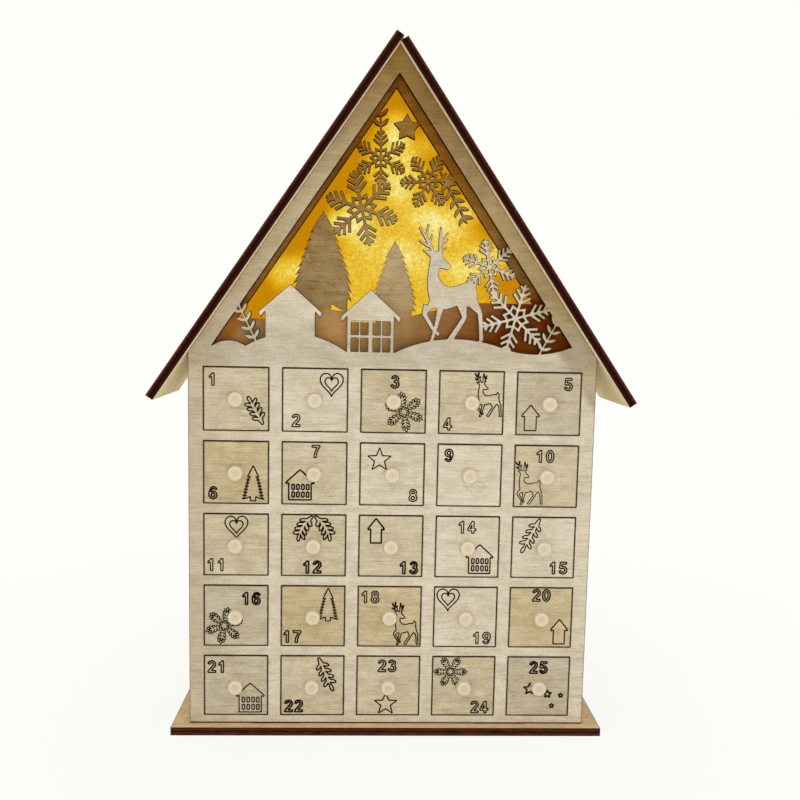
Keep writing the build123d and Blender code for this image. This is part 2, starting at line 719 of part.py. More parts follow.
# Two cells lying the opposite way round, with a plate or a sprung leaf at each end
cell_y = case_front_y + case_wall + cell_play + cell_diameter / 2
cell_rise = (cell_diameter + cell_gap) / 2
cell_solids = []
contact_solids = []
for side in (1, -1):
    cell_z = bay_z + side * cell_rise
    nub_end_x = bay_right_x - contact_thick if side > 0 else bay_left_x + contact_thick
    leaf_wall_x = bay_left_x if side > 0 else bay_right_x
    cell_plane = Plane((nub_end_x, cell_y, cell_z), x_dir=(0, 1, 0), z_dir=(-side, 0, 0))
    with BuildPart() as cell:
        with BuildSketch(cell_plane):
            Circle(cell_nub_diameter / 2)
        extrude(amount=cell_nub_length)
        with BuildSketch(cell_plane.offset(cell_nub_length)):
            Circle(cell_diameter / 2)
        extrude(amount=cell_body_length)
    cell_solids.append(cell.part)
    with BuildPart() as plate:
        with BuildSketch(cell_plane):
            Rectangle(contact_width, contact_width)
        extrude(amount=-contact_thick)
    contact_solids.append(plate.part)
    leaf_plane = Plane((leaf_wall_x, cell_y, cell_z - contact_width / 2), x_dir=(side, 0, 0), z_dir=(0, 0, 1))
    with BuildPart() as leaf_contact:
        with BuildSketch(leaf_plane):
            Polygon(
                (0, -contact_width / 2),
                (leaf_strip, -contact_width / 2),
                (leaf_reach, 0),
                (leaf_strip, contact_width / 2),
                (0, contact_width / 2),
                (leaf_reach - leaf_strip, 0),
                align=None,
            )
        extrude(amount=contact_width)
    contact_solids.append(leaf_contact.part)
group(cell_solids, "battery_cells")
group(contact_solids, "battery_contacts")

# Cover that closes the cell bay from behind: a plate with a lip inside the mouth and grip ribs
cover_length = bay_length + 2 * cover_lap
cover_height = bay_height + 2 * cover_lap
cover_x = bay_left_x + bay_length / 2
cover_back_y = room_back_y + cover_thick
with BuildPart() as battery_cover:
    with BuildSketch(upright(cover_back_y)):
        with Locations((cover_x, bay_z)):
            Rectangle(cover_length, cover_height)
    extrude(amount=cover_thick)
    with BuildSketch(upright(room_back_y)):
        with Locations((cover_x, bay_z)):
            lip_length = bay_length - 2 * cover_lip_play
            lip_height = bay_height - 2 * cover_lip_play
            Rectangle(lip_length, lip_height)
            Rectangle(lip_length - 2 * cover_lip_wall, lip_height - 2 * cover_lip_wall, mode=Mode.SUBTRACT)
    extrude(amount=cover_lip_depth)
    with BuildSketch(upright(cover_back_y)):
        with Locations((cover_x - cover_length / 2 + cover_rib_inset, bay_z)):
            with GridLocations(cover_rib_pitch, 0, cover_ribs, 1):
                Rectangle(cover_rib_size, cover_rib_length)
    extrude(amount=-cover_rib_size / 2)
write(battery_cover.part, "battery_cover")

# Switch slider: a nub through the slot with a shoulder behind the switch plate, at its off end
with BuildPart() as switch_slider:
    slider_x = switch_x - switch_travel / 2
    with BuildSketch(upright(room_back_y + nub_reach)):
        with Locations((slider_x, bay_z)):
            Rectangle(nub_width, nub_height)
    extrude(amount=nub_reach + case_wall + switch_play)
    with BuildSketch(upright(room_back_y - case_wall - switch_play)):
        with Locations((slider_x, bay_z)):
            Rectangle(nub_width + 2 * nub_flange, nub_height + 2 * nub_flange)
    extrude(amount=nub_flange)
write(switch_slider.part, "switch_slider")

# Back panel with the hatch over the battery cover and switch
hatch_left_x = cover_x - cover_length / 2 - cover_play
hatch_right_x = switch_x + switch_room / 2
hatch_low_z = bay_z - cover_height / 2 - cover_play
hatch_height = cover_height + 2 * cover_play
with BuildPart() as back_panel:
    with BuildSketch(upright(house_depth / 2)):
        Polygon(*gable_points(house_half, base_top, 0), align=None)
        with Locations((hatch_left_x, hatch_low_z)):
            Rectangle(hatch_right_x - hatch_left_x, hatch_height, align=Align.MIN, mode=Mode.SUBTRACT)
        with Locations((-tab_x, tab_shy), (tab_x, tab_shy)):
            Rectangle(tab_width, base_top - tab_shy, align=(Align.CENTER, Align.MIN))
    extrude(amount=panel_thick)
write(back_panel.part, "back_panel")

# Light string: the lead leaves the case along the attic floor, then zigzags up the diffuser
lead_floor_z = attic_top + lead_diameter / 2 + lead_play
lead_route = [(lead_exit_x, case_front_y, lead_floor_z), (lead_exit_x, lead_y, lead_floor_z)]
lead_route += [(x, lead_y, attic_top + z) for x, z in lead_points]
with BuildPart() as light_string:
    with BuildLine() as lead_line:
        FilletPolyline(*lead_route, radius=lead_bend)
    with BuildSketch(Plane(lead_line.line @ 0, x_dir=(1, 0, 0), z_dir=lead_line.line % 0)):
        RegularPolygon(lead_diameter / 2, lead_sides)
    sweep()
write(light_string.part, "light_string")

# Bead lamps between the lead's corners and the diffuser
bead_solids = []
for x, y, z in lead_route[2:]:
    on_lead = lead_line.line.closest_points(Vertex(x, y, z))[0]
    with BuildPart() as bead:
        with BuildSketch(upright(bead_back_y)):
            with Locations((on_lead.X, on_lead.Z)):
                RegularPolygon(bead_diameter / 2, bead_sides)
        extrude(amount=bead_depth)
    bead_solids.append(bead.part)
group(bead_solids, "bead_lamps")
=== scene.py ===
import math
import random

import bpy
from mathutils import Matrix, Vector


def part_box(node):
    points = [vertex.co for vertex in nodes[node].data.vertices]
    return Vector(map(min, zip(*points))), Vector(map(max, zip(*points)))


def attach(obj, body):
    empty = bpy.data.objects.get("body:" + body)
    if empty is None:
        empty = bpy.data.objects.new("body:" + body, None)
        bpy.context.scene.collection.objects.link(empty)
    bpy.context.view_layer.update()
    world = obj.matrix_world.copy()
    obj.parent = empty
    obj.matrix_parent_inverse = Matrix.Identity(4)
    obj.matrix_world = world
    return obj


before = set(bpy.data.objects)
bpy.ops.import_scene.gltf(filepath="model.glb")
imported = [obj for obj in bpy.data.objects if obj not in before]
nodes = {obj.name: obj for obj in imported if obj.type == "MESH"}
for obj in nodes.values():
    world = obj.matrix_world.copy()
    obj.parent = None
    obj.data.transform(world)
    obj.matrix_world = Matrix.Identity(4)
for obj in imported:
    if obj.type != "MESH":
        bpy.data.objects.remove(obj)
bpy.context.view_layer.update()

bpy.ops.object.select_all(action="DESELECT")

# Base board: a plate of 5 mm birch plywood that the house stands on, slotted for the tabs of its panels.
# Its faces are sanded and pale, and the laser that cuts it out chars its edges in brown layers.
MM = 0.001


def linear(code):
    """A hex colour of a screen as the linear colour that a shader takes."""
    shares = [int(code[place:place + 2], 16) / 255 for place in (1, 3, 5)]
    return [s / 12.92 if s <= 0.04045 else ((s + 0.055) / 1.055) ** 2.4 for s in shares] + [1.0]


def add_node(tree, kind, inputs, **settings):
    """Adds a node with its settings, and sets or links each of its inputs."""
    node = tree.nodes.new(kind)
    for setting, value in settings.items():
        setattr(node, setting, value)
    for socket, value in inputs.items():
        if isinstance(value, bpy.types.NodeSocket):
            tree.links.new(value, node.inputs[socket])
        else:
            node.inputs[socket].default_value = value
    return node.outputs


def new_finish(name):
    """Starts a material, and gives it with its node tree and its shader."""
    made = bpy.data.materials.new(name)
    made.use_nodes = True
    return made, made.node_tree, made.node_tree.nodes["Principled BSDF"]


def plywood(name, face, plies, board, grain, out, seed, tone=0.0, edge_to=1.0, rim_z=1.0, clean_at=None):
    """Laser-cut birch plywood. Fibres, pores and soft clouds of three tones run along the grain of a face,
    the beam leaves a narrow scorch round every cut, and the cut shows the charred plies from skin to skin.
    Cuts are charred as far in as edge_to, rims that look up are charred above rim_z, and no scorch lies
    round clean_at, where a knob is glued on."""
    made, tree, shader = new_finish(name)
    place = add_node(tree, "ShaderNodeTexCoord", {})
    along, sideways, through = (
        add_node(
            tree, "ShaderNodeVectorMath", {0: place["Object"], 1: axis}, operation="DOT_PRODUCT"
        )["Value"]
        for axis in (grain, Vector(grain).cross(out), out)
    )
    spot = add_node(tree, "ShaderNodeCombineXYZ", {0: along, 1: sideways, 2: through})["Vector"]
    figure = {}
    # Birch fibres are finer than a tenth of a millimetre, so they are drawn in strands of half a millimetre
    for pattern, length, width, detail in (
        ("fibre", 14.0, 0.6, 4.0),
        ("pore", 1.8, 0.6, 1.0),
        ("band", 24.0, 2.4, 2.0),
        ("cloud", 9.0, 6.0, 3.0),
        ("soot", 9.0, 0.7, 2.0),
    ):
        sizes = [1 / (length * MM), 1 / (width * MM), 1 / (width * MM)]
        spread = add_node(tree, "ShaderNodeVectorMath", {0: spot, 1: sizes}, operation="MULTIPLY")["Vector"]
        figure[pattern] = add_node(
            tree, "ShaderNodeTexNoise", {"Vector": spread, "W": seed, "Scale": 1.0, "Detail": detail},
            noise_dimensions="4D",
        )["Fac"]
    shade = figure["cloud"]
    for pattern, share in (("band", 0.5), ("fibre", 0.8), ("pore", 0.9)):
        shade = add_node(
            tree, "ShaderNodeMath", {0: figure[pattern], 1: share, 2: shade}, operation="MULTIPLY_ADD"
        )[0]
    shade = add_node(
        tree, "ShaderNodeMapRange", {"Value": shade, "From Min": 1.25 - tone, "From Max": 1.95 - tone}
    )["Result"]
    strand = add_node(
        tree, "ShaderNodeMapRange",
        {"Value": figure["fibre"], "From Min": 0.56, "From Max": 0.74, "To Max": 0.5},
    )["Result"]
    veneer, streak, dark_strand = (linear(code) for code in face)
    skin = add_node(tree, "ShaderNodeMix", {0: shade, 6: veneer, 7: streak}, data_type="RGBA")[2]
    skin = add_node(tree, "ShaderNodeMix", {0: strand, 6: skin, 7: dark_strand}, data_type="RGBA")[2]

    # A face is scorched near a cut, where its rounded normal leaves the flat one
    scorch_width = 1.1 * MM
    rounded = add_node(tree, "ShaderNodeBevel", {"Radius": scorch_width}, samples=8)["Normal"]
    flat = add_node(tree, "ShaderNodeNewGeometry", {})["True Normal"]
    kept = add_node(tree, "ShaderNodeVectorMath", {0: rounded, 1: flat}, operation="DOT_PRODUCT")["Value"]
    near = add_node(tree, "ShaderNodeMapRange", {"Value": kept, "From Min": 0.985, "From Max": 0.9})["Result"]
    if clean_at:
        clean_reach = 8.0 * MM
        away = add_node(
            tree, "ShaderNodeVectorMath", {0: place["Object"], 1: clean_at}, operation="DISTANCE"
        )["Value"]
        away = add_node(tree, "ShaderNodeMath", {0: away, 1: clean_reach}, operation="GREATER_THAN")[0]
        near = add_node(tree, "ShaderNodeMath", {0: near, 1: away}, operation="MULTIPLY")[0]
    scorch = add_node(
        tree, "ShaderNodeMath", {0: near, 1: figure["soot"], 2: 0.5}, operation="MULTIPLY_ADD"
    )[0]
    scorch = add_node(tree, "ShaderNodeMath", {0: scorch, 1: near}, operation="MULTIPLY")[0]
    skin = add_node(tree, "ShaderNodeMix", {0: scorch, 6: skin, 7: linear(plies[1])}, data_type="RGBA")[2]

    # A cut is tinted by its depth in the board, with a waver, as the beam doesn't burn each ply evenly
    inner, thick = board
    depth = add_node(tree, "ShaderNodeMath", {0: through, 1: inner}, operation="SUBTRACT")[0]
    depth = add_node(tree, "ShaderNodeMath", {0: depth, 1: 1 / thick}, operation="MULTIPLY")[0]
    depth = add_node(tree, "ShaderNodeMath", {0: depth}, operation="FRACT")[0]
    waver = add_node(
        tree, "ShaderNodeMapRange",
        {"Value": figure["soot"], "From Min": 0.3, "From Max": 0.7, "To Min": -0.14, "To Max": 0.14},
    )["Result"]
    depth = add_node(tree, "ShaderNodeMath", {0: depth, 1: waver}, operation="ADD")[0]
    layers = tree.nodes.new("ShaderNodeValToRGB")
    layers.color_ramp.elements[0].color = linear(plies[0])
    layers.color_ramp.elements[1].color = linear(plies[-1])
    for layer in range(1, len(plies) - 1):
        layers.color_ramp.elements.new(layer / (len(plies) - 1)).color = linear(plies[layer])
    tree.links.new(depth, layers.inputs["Fac"])

    turned_by = add_node(
        tree, "ShaderNodeVectorMath", {0: place["Normal"], 1: out}, operation="DOT_PRODUCT"
    )["Value"]
    turned_by = add_node(tree, "ShaderNodeMath", {0: turned_by}, operation="ABSOLUTE")[0]
    cut = add_node(tree, "ShaderNodeMath", {0: turned_by, 1: 0.5}, operation="LESS_THAN")[0]
    inside = add_node(tree, "ShaderNodeMath", {0: through, 1: edge_to}, operation="LESS_THAN")[0]
    cut = add_node(tree, "ShaderNodeMath", {0: cut, 1: inside}, operation="MULTIPLY")[0]
    height = add_node(tree, "ShaderNodeSeparateXYZ", {0: place["Object"]})["Z"]
    rim = add_node(tree, "ShaderNodeMath", {0: height, 1: rim_z}, operation="GREATER_THAN")[0]
    rise = add_node(tree, "ShaderNodeSeparateXYZ", {0: place["Normal"]})["Z"]
    rim = add_node(tree, "ShaderNodeMath", {0: rim, 1: rise}, operation="MULTIPLY")[0]
    cut = add_node(tree, "ShaderNodeMath", {0: cut, 1: rim}, operation="MAXIMUM")[0]
    colour = add_node(
        tree, "ShaderNodeMix", {0: cut, 6: skin, 7: layers.outputs["Color"]}, data_type="RGBA"
    )[2]
    tree.links.new(colour, shader.inputs["Base Color"])
    shader.inputs["Roughness"].default_value = 0.7
    shader.inputs["Specular IOR Level"].default_value = 0.04
    relief = add_node(
        tree, "ShaderNodeBump", {"Height": figure["fibre"], "Strength": 0.25, "Distance": 0.08 * MM}
    )["Normal"]
    tree.links.new(relief, shader.inputs["Normal"])
    return made


SIDE, DEPTH, UP = (1, 0, 0), (0, 1, 0), (0, 0, 1)
nodes["base_plate"].material_slots[0].material = plywood(
    "laser-cut birch ply, base", ("#E5CAA0", "#C8A97A", "#A38355"),
    ("#1E0E06", "#563222", "#160402", "#542818", "#2E160C"), (0.0, 5.0 * MM), SIDE, UP, 1.0,
)

# Front panel: one 3 mm sheet with the gable window and its scenery, and 25 openings for the drawers.
# The grain runs across; every opening has a thin brown scorch from the beam.
thin_plies = ("#3A2416", "#1C100A", "#5F4029", "#1C100A", "#3A2416")
thin_board = (0.0, 3.0 * MM)
front_ply = plywood(
    "laser-cut birch ply, front", ("#DED4C0", "#BEAF96", "#A08D6C"), thin_plies, thin_board, SIDE, DEPTH, 2.0
)

roof_pitch = math.radians(55.7)
roof_slope = math.tan(roof_pitch)
ridge_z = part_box("front_panel")[1].z
header_z, deer_x = 240 * MM, 32 * MM


def under_roof(tree):
    """The place of a spot on a gable sheet, and how high the ridge of a roof through that spot would be."""
    spot = add_node(tree, "ShaderNodeSeparateXYZ", {0: add_node(tree, "ShaderNodeTexCoord", {})["Object"]})
    span = add_node(tree, "ShaderNodeMath", {0: spot["X"]}, operation="ABSOLUTE")[0]
    fall = add_node(
        tree, "ShaderNodeMath", {0: span, 1: roof_slope, 2: spot["Z"]}, operation="MULTIPLY_ADD"
    )[0]
    return spot, fall


def apart(tree, place, middle):
    """How far a place is from the middle of something, to either side."""
    gap = add_node(tree, "ShaderNodeMath", {0: place, 1: middle}, operation="SUBTRACT")[0]
    return add_node(tree, "ShaderNodeMath", {0: gap}, operation="ABSOLUTE")[0]


tree = front_ply.node_tree
wood = tree.nodes["Principled BSDF"].inputs["Base Color"].links[0].from_socket
spot, fall = under_roof(tree)
fall_right = add_node(
    tree, "ShaderNodeMath", {0: spot["X"], 1: roof_slope, 2: spot["Z"]}, operation="MULTIPLY_ADD"
)[0]
header = apart(tree, spot["Z"], header_z)
deer_side = apart(tree, spot["X"], deer_x)
high_up = add_node(
    tree, "ShaderNodeMapRange",
    {"Value": spot["Z"], "From Min": 245 * MM, "From Max": 275 * MM, "To Max": 0.92},
)["Result"]
low_down = add_node(
    tree, "ShaderNodeMapRange", {"Value": spot["Z"], "From Min": 290 * MM, "From Max": 255 * MM}
)["Result"]
colour = wood
# Painted shade, matched to the photograph: darker under the roof's edges, at the apex and towards the left
# edge, and a little darker along the header and beside the deer. Columns: along what, from where to where,
# how much, which colour
for value, clear, full, share, tint in (
    (fall, ridge_z - 34 * MM, ridge_z - 13 * MM, high_up, "#E2D9C9"),
    (fall_right, ridge_z - 34 * MM, ridge_z - 20 * MM, high_up, "#E6D9BE"),
    (fall_right, ridge_z - 38 * MM, ridge_z - 27 * MM, low_down, "#DCD5C8"),
    (spot["Z"], 318 * MM, 400 * MM, 1.0, "#D8C49C"),
    (spot["X"], -75 * MM, -118 * MM, 1.0, "#EDE7DD"),
    (header, 17 * MM, 9 * MM, 1.0, "#EDECEB"),
    (deer_side, 24 * MM, 16 * MM, high_up, "#F2F1F0"),
):
    painted_light_share = add_node(
        tree, "ShaderNodeMapRange",
        {"Value": value, "From Min": clear, "From Max": full, "To Max": share},
        interpolation_type="SMOOTHSTEP",
    )["Result"]
    colour = add_node(
        tree, "ShaderNodeMix", {0: painted_light_share, 6: colour, 7: linear(tint)},
        data_type="RGBA", blend_type="MULTIPLY",
    )[2]
# A dark line just above the base is the scorch of the lower edge's cut together with painted shadow of the
# gap under the sheet
foot_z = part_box("base_plate")[1].z
foot = add_node(
    tree, "ShaderNodeMapRange",
    {"Value": spot["Z"], "From Min": foot_z + 1.1 * MM, "From Max": foot_z + 0.6 * MM},
)["Result"]
colour = add_node(
    tree, "ShaderNodeMix", {0: foot, 6: colour, 7: linear(thin_plies[0])}, data_type="RGBA"
)[2]
tree.links.new(colour, tree.nodes["Principled BSDF"].inputs["Base Color"])
nodes["front_panel"].material_slots[0].material = front_ply

# Carcass: two walls, with shelves and dividers between them that are half-lapped with each other, the
# attic floor over them, and two strips that hold the scene sheet off the front. Plain 3 mm sheet, glued;
# the walls show from the side, and the rest only past an open drawer.
inner_face = ("#D2C3A2", "#B4A07A", "#9A855E")
upright_ply = plywood("laser-cut birch ply, uprights", inner_face, thin_plies, thin_board, DEPTH, SIDE, 3.0)
level_ply = plywood("laser-cut birch ply, shelves", inner_face, thin_plies, thin_board, SIDE, UP, 4.0)
for node in (
    "left_wall", "right_wall", "divider_1", "divider_2", "divider_3", "divider_4",
    "left_spacer", "right_spacer",
):
    nodes[node].material_slots[0].material = upright_ply
for node in ("shelf_1", "shelf_2", "shelf_3", "shelf_4", "shelf_5", "attic_floor"):
    nodes[node].material_slots[0].material = level_ply

# Back panel: a sheet in the outline of the house, with a hatch, that closes the drawers and the attic.
# It is cut from the same birch, with the grain across.
nodes["back_panel"].material_slots[0].material = plywood(
    "laser-cut birch ply, back", inner_face, thin_plies, thin_board, SIDE, DEPTH, 5.0
)

# Roof: two boards of 5 mm ply that lap at the ridge and stand out past the panels.
# The thick edge took the beam longest and is burnt almost black, red brown along its layers, and the
# undersides carry painted light, mixed towards a pale cream where the faces look down.
for node, side, seed in (("left_roof", -1, 6.0), ("right_roof", 1, 7.0)):
    out = (side * math.sin(roof_pitch), 0, math.cos(roof_pitch))
    roof_ply = plywood(
        f"laser-cut birch ply, {node.replace('_', ' ')}", ("#DCCDA8", "#C0AD82", "#A38F62"),
        ("#3A1A0F", "#2C0F09", "#1C0302", "#3A150C", "#613B28"),
        (ridge_z * math.cos(roof_pitch), 5.0 * MM), DEPTH, out, seed,
    )
    tree = roof_ply.node_tree
    wood = tree.nodes["Principled BSDF"].inputs["Base Color"].links[0].from_socket
    facing = add_node(tree, "ShaderNodeTexCoord", {})["Normal"]
    facing = add_node(tree, "ShaderNodeVectorMath", {0: facing, 1: out}, operation="DOT_PRODUCT")["Value"]
    # Painted light on the undersides: the faces that look down are mixed towards pale cream
    painted_underside_light = add_node(
        tree, "ShaderNodeMapRange", {"Value": facing, "From Min": -0.4, "From Max": -0.6, "To Max": 0.9}
    )["Result"]
    colour = add_node(
        tree, "ShaderNodeMix", {0: painted_underside_light, 6: wood, 7: linear("#FFF1C8")}, data_type="RGBA"
    )[2]
    tree.links.new(colour, tree.nodes["Principled BSDF"].inputs["Base Color"])
    nodes[node].material_slots[0].material = roof_ply

# Scene sheet: the second layer, behind the front, with fir trees, ground, star and hung snowflakes.
# The same 3 mm ply, its brown painted shade, standing in the warm light from behind.
shaded = plywood(
    "stained birch ply, scene", ("#B89F70", "#8A6D46", "#664C2C"), thin_plies, thin_board, SIDE, DEPTH, 8.0
)
dip_x, short_fir_x = 9 * MM, -3 * MM

tree = shaded.node_tree
wood = tree.nodes["Principled BSDF"].inputs["Base Color"].links[0].from_socket
spot, fall = under_roof(tree)
lean = add_node(tree, "ShaderNodeMath", {0: spot["X"], 1: spot["Z"]}, operation="SUBTRACT")[0]
dip = apart(tree, spot["X"], dip_x)
rise = add_node(
    tree, "ShaderNodeMapRange",
    {"Value": spot["X"], "From Min": 5 * MM, "From Max": 52 * MM, "To Max": 13 * MM},
)["Result"]
level = add_node(tree, "ShaderNodeMath", {0: spot["Z"], 1: rise}, operation="SUBTRACT")[0]
low_down = add_node(
    tree, "ShaderNodeMapRange", {"Value": level, "From Min": 264 * MM, "From Max": 256 * MM}
)["Result"]
fir_side = apart(tree, spot["X"], short_fir_x)
fir_high = add_node(
    tree, "ShaderNodeMapRange",
    {"Value": spot["Z"], "From Min": 310 * MM, "From Max": 300 * MM, "To Max": 0.15},
)["Result"]
colour = wood
# Painted shade, matched to the photograph, darkens the sheet high up, under the roof, to the left and in a
# band of ground at the middle, and reddens the low ground to the right; painted warm light turns the low
# ground golden and pales the short fir's lower part. Columns: along what, from where to where, how much, how
# laid on, which colour
for value, clear, full, share, blend, tint in (
    (spot["Z"], 300 * MM, 345 * MM, 1.0, "MULTIPLY", "#EACF92"),
    (spot["X"], -12 * MM, -26 * MM, 1.0, "MULTIPLY", "#EDE8E4"),
    (fir_side, 18 * MM, 11 * MM, fir_high, "MIX", "#EDDBB3"),
    (level, 264 * MM, 256 * MM, 0.4, "MIX", "#E9AD60"),
    (dip, 15 * MM, 5 * MM, low_down, "MULTIPLY", "#D7D4CB"),
    (lean, -250 * MM, -185 * MM, low_down, "MULTIPLY", "#BC7C27"),
    (fall, ridge_z - 32 * MM, ridge_z - 24 * MM, 1.0, "MULTIPLY", "#F8D8A0"),
):
    painted_light_share = add_node(
        tree, "ShaderNodeMapRange", {"Value": value, "From Min": clear, "From Max": full, "To Max": share}
    )["Result"]
    colour = add_node(
        tree, "ShaderNodeMix", {0: painted_light_share, 6: colour, 7: linear(tint)},
        data_type="RGBA", blend_type=blend,
    )[2]
tree.links.new(colour, tree.nodes["Principled BSDF"].inputs["Base Color"])
nodes["scene_panel"].material_slots[0].material = shaded

# Diffuser: a thin amber film that stands behind the scene and spreads the light of the lamps.
# It glows all over as painted light, deeper towards the ridge; the film shines by itself, and the lamps
# behind don't light it.
# Its bright patches lie where the photograph has them, and don't follow the lamps behind, whose places are
# guessed.
film, tree, shader = new_finish("amber diffuser film")
place = add_node(tree, "ShaderNodeTexCoord", {})["Object"]
film_y = -15 * MM
# Each patch in millimetres: across, up, reach; and how much it adds to the glow
bright_patches = (
    (-1, 370, 16, 0.5), (-8, 360, 15, 0.35), (4, 357, 16, 0.4), (-12, 347, 16, 0.3), (1, 337, 18, 0.35),
    (11, 346, 14, 0.25), (19, 361, 13, 0.24), (-28, 317, 18, 0.48), (-37, 312, 13, 0.4), (-21, 307, 16, 0.24),
    (17, 319, 17, 0.32), (32, 316, 20, 0.48), (44, 323, 14, 0.38), (45, 305, 15, 0.26), (27, 305, 18, 0.14),
    (-6, 294, 22, 0.14), (4, 297, 15, 0.22), (-67, 283, 16, 0.46), (-57, 287, 13, 0.36), (42, 289, 18, 0.4),
    (56, 294, 18, 0.46), (14, 290, 18, 0.14), (67, 298, 16, 0.24),
)
spot, fall = under_roof(tree)
shine = add_node(
    tree, "ShaderNodeMapRange",
    {
        "Value": fall, "From Min": ridge_z - 40 * MM, "From Max": ridge_z - 82 * MM,
        "To Min": 0.06, "To Max": 0.42,
    },
)["Result"]
for x, z, reach, level in bright_patches:
    gap = add_node(
        tree, "ShaderNodeVectorMath", {0: place, 1: (x * MM, film_y, z * MM)}, operation="DISTANCE"
    )["Value"]
    patch = add_node(
        tree, "ShaderNodeMapRange",
        {"Value": gap, "From Min": reach * MM, "From Max": 0.0, "To Max": level},
        interpolation_type="SMOOTHERSTEP",
    )["Result"]
    shine = add_node(tree, "ShaderNodeMath", {0: patch, 1: shine}, operation="ADD")[0]
grain = add_node(
    tree, "ShaderNodeTexNoise", {"Vector": place, "Scale": 1 / (1.6 * MM), "Detail": 3.0, "Roughness": 0.75}
)["Fac"]
grain = add_node(
    tree, "ShaderNodeMapRange",
    {"Value": grain, "From Min": 0.3, "From Max": 0.75, "To Min": 0.6, "To Max": 1.5},
)["Result"]
shine = add_node(tree, "ShaderNodeMath", {0: shine, 1: grain}, operation="MULTIPLY")[0]
speck = add_node(
    tree, "ShaderNodeTexVoronoi", {"Vector": place, "Scale": 1 / (2.4 * MM), "Randomness": 1.0}
)["Distance"]
speck = add_node(
    tree, "ShaderNodeMapRange", {"Value": speck, "From Min": 0.22, "From Max": 0.05, "To Max": 0.9}
)["Result"]
shine = add_node(tree, "ShaderNodeMath", {0: speck, 1: shine, 2: shine}, operation="MULTIPLY_ADD")[0]
ramp = tree.nodes.new("ShaderNodeValToRGB")
ramp.color_ramp.elements[0].color = linear("#BF7C06")
ramp.color_ramp.elements[1].color = linear("#FEF2BE")
for stop, code in ((0.12, "#D69B0C"), (0.32, "#E6B72A"), (0.55, "#F0D254"), (0.78, "#F7E588")):
    ramp.color_ramp.elements.new(stop).color = linear(code)
shine = add_node(tree, "ShaderNodeMath", {0: shine, 1: 1.25}, operation="POWER")[0]
tree.links.new(shine, ramp.inputs["Fac"])
shader.inputs["Base Color"].default_value = linear("#000000")
shader.inputs["Specular IOR Level"].default_value = 0.0
tree.links.new(ramp.outputs["Color"], shader.inputs["Emission Color"])
shader.inputs["Emission Strength"].default_value = 1.0
nodes["diffuser_sheet"].material_slots[0].material = film

# Lamps: a string of resin beads behind the film, each bead cast round a diode; they light the real film,
# whose glow is painted here.
# The clear resin has a soft skin and glows warm white, yellower in the cloudy streaks of the casting.
bead_resin, tree, shader = new_finish("cast clear resin, lit")
place = add_node(tree, "ShaderNodeTexCoord", {})["Object"]
cloudy = add_node(
    tree, "ShaderNodeTexNoise", {"Vector": place, "Scale": 1 / (2.0 * MM), "Detail": 2.0}
)["Fac"]
warm = add_node(
    tree, "ShaderNodeMix", {0: cloudy, 6: linear("#FFF0C4"), 7: linear("#F2B648")}, data_type="RGBA"
)[2]
tree.links.new(warm, shader.inputs["Emission Color"])
tree.links.new(warm, shader.inputs["Base Color"])
shader.inputs["Emission Strength"].default_value = 0.8
shader.inputs["Roughness"].default_value = 0.25
nodes["bead_lamps"].material_slots[0].material = bead_resin

# Lead: thin twisted wire in a soft sleeve that runs from bead to bead and down to the battery case.
# Extruded and slightly waxy, it is pale straw with a trace of dust.
sleeve, tree, shader = new_finish("extruded PVC lead")
place = add_node(tree, "ShaderNodeTexCoord", {})["Object"]
dust = add_node(tree, "ShaderNodeTexNoise", {"Vector": place, "Scale": 1 / (3.0 * MM), "Detail": 3.0})["Fac"]
colour = add_node(
    tree, "ShaderNodeMix", {0: dust, 6: linear("#DAC9A0"), 7: linear("#B9A67B")}, data_type="RGBA"
)[2]
tree.links.new(colour, shader.inputs["Base Color"])
shader.inputs["Roughness"].default_value = 0.45
nodes["light_string"].material_slots[0].material = sleeve

# Battery case: a moulded box behind the gable, with a cover that lifts out through the back panel's hatch.
# Black ABS, grained on the outside; the slide switch beside it is a paler grey.
def moulded(name, colour, paler):
    """Moulded ABS: a plain colour with the fine even pits of a spark-eroded mould, and a dull gloss."""
    made, tree, shader = new_finish(name)
    place = add_node(tree, "ShaderNodeTexCoord", {})["Object"]
    # The pits are about 0.1 mm wide and are drawn at 0.5 mm, so that they show
    pits = add_node(
        tree, "ShaderNodeTexNoise", {"Vector": place, "Scale": 1 / (0.5 * MM), "Detail": 2.0}
    )["Fac"]
    flow = add_node(
        tree, "ShaderNodeTexNoise", {"Vector": place, "Scale": 1 / (14 * MM), "Detail": 2.0}
    )["Fac"]
    tint = add_node(
        tree, "ShaderNodeMix", {0: flow, 6: linear(colour), 7: linear(paler)}, data_type="RGBA"
    )[2]
    tree.links.new(tint, shader.inputs["Base Color"])
    dull = add_node(tree, "ShaderNodeMapRange", {"Value": pits, "To Min": 0.4, "To Max": 0.6})["Result"]
    tree.links.new(dull, shader.inputs["Roughness"])
    relief = add_node(
        tree, "ShaderNodeBump", {"Height": pits, "Strength": 0.35, "Distance": 0.05 * MM}
    )["Normal"]
    tree.links.new(relief, shader.inputs["Normal"])
    return made


case_abs = moulded("moulded ABS, black", "#1B1B1C", "#2A2A2B")
nodes["battery_case"].material_slots[0].material = case_abs
nodes["battery_cover"].material_slots[0].material = case_abs
nodes["switch_slider"].material_slots[0].material = moulded("moulded ABS, grey", "#5A5B5C", "#6C6D6E")

